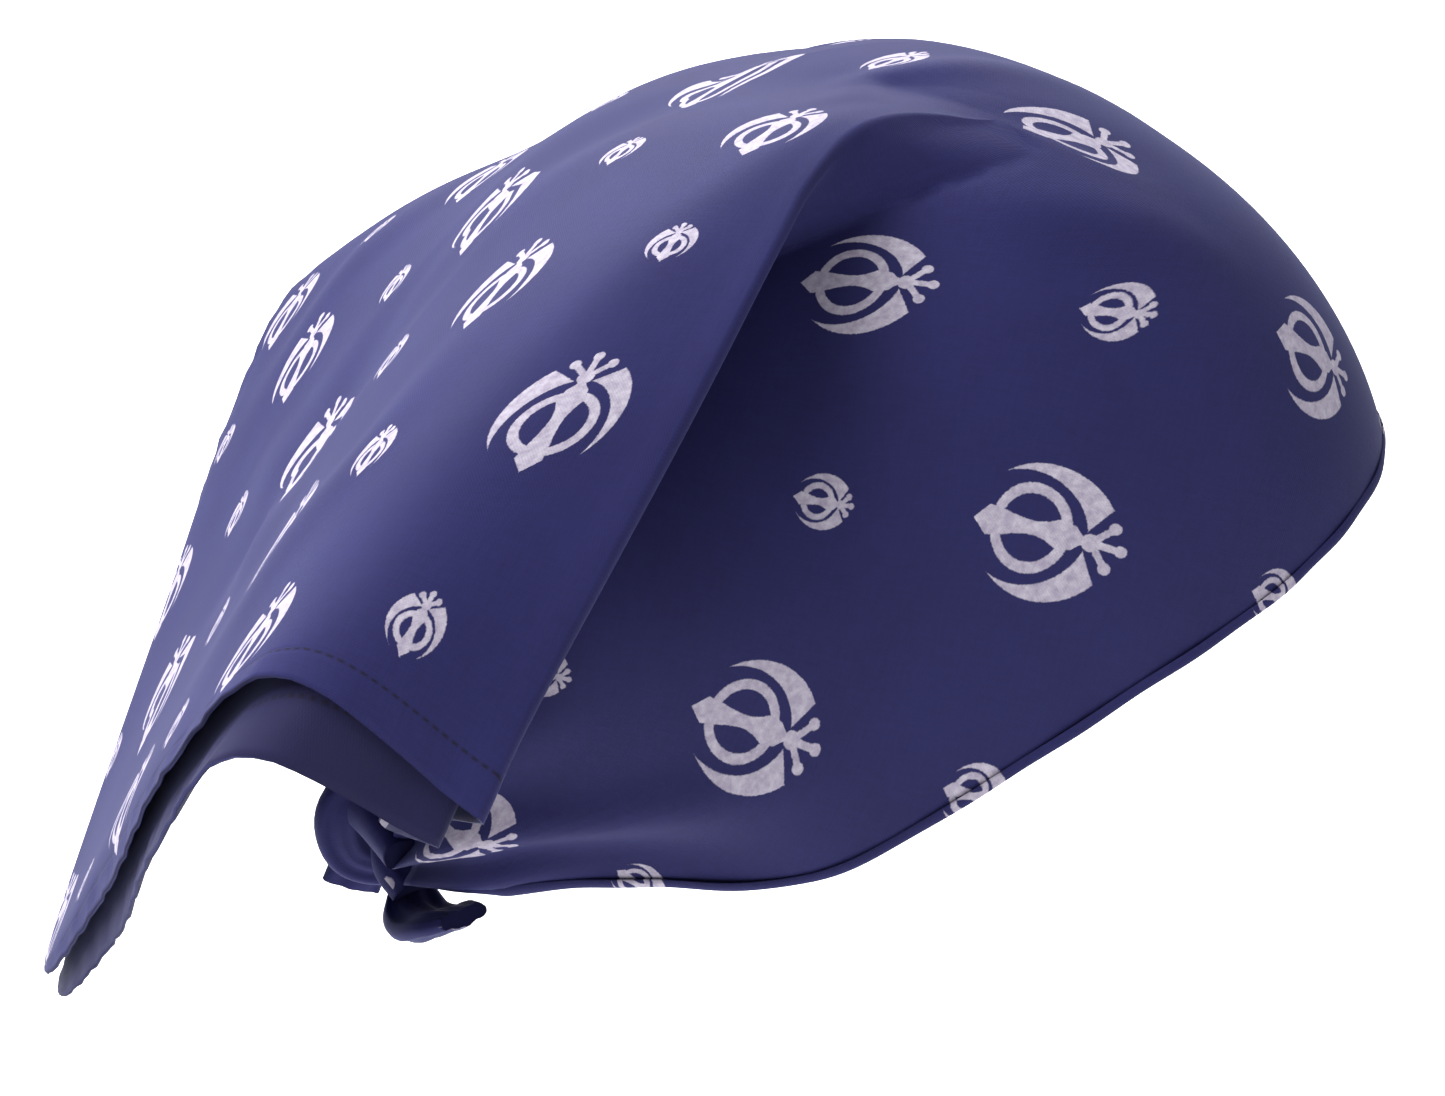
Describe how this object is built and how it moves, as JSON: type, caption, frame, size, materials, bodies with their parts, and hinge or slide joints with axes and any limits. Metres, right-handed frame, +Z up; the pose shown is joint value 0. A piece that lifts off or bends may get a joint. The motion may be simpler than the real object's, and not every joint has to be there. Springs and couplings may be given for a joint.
{
  "type": "knotted rumal head wrap",
  "caption": "Folded square cotton head wrap, snug over the crown, knotted at the nape, with a wide flared back flap and a repeated printed emblem.",
  "frame": {"origin": "the crown seat: the middle of the crown's inner face, where the wrap sits on the head", "axes": "+Z up, -Y towards the wearer's forehead, -X towards the wearer's right side"},
  "size_m": [0.2614, 0.2774, 0.1937],
  "materials": {
    "printed_cotton": "navy plain-weave cotton with an off-white repeated emblem print",
    "cotton_wrong_side": "navy plain-weave cotton, wrong side"
  },
  "bodies": {
    "root": {"cap_outer_layer": "printed_cotton", "cap_inner_layer": "cotton_wrong_side", "band_fold": "printed_cotton", "back_flap_outer_layer": "printed_cotton", "back_flap_inner_layer": "cotton_wrong_side", "hem_outer_right": "printed_cotton", "hem_outer_left": "printed_cotton", "hem_inner_right": "printed_cotton", "hem_inner_left": "printed_cotton", "knot": "printed_cotton", "knot_end_right": "printed_cotton", "knot_end_left": "printed_cotton"}
  },
  "joints": []
}
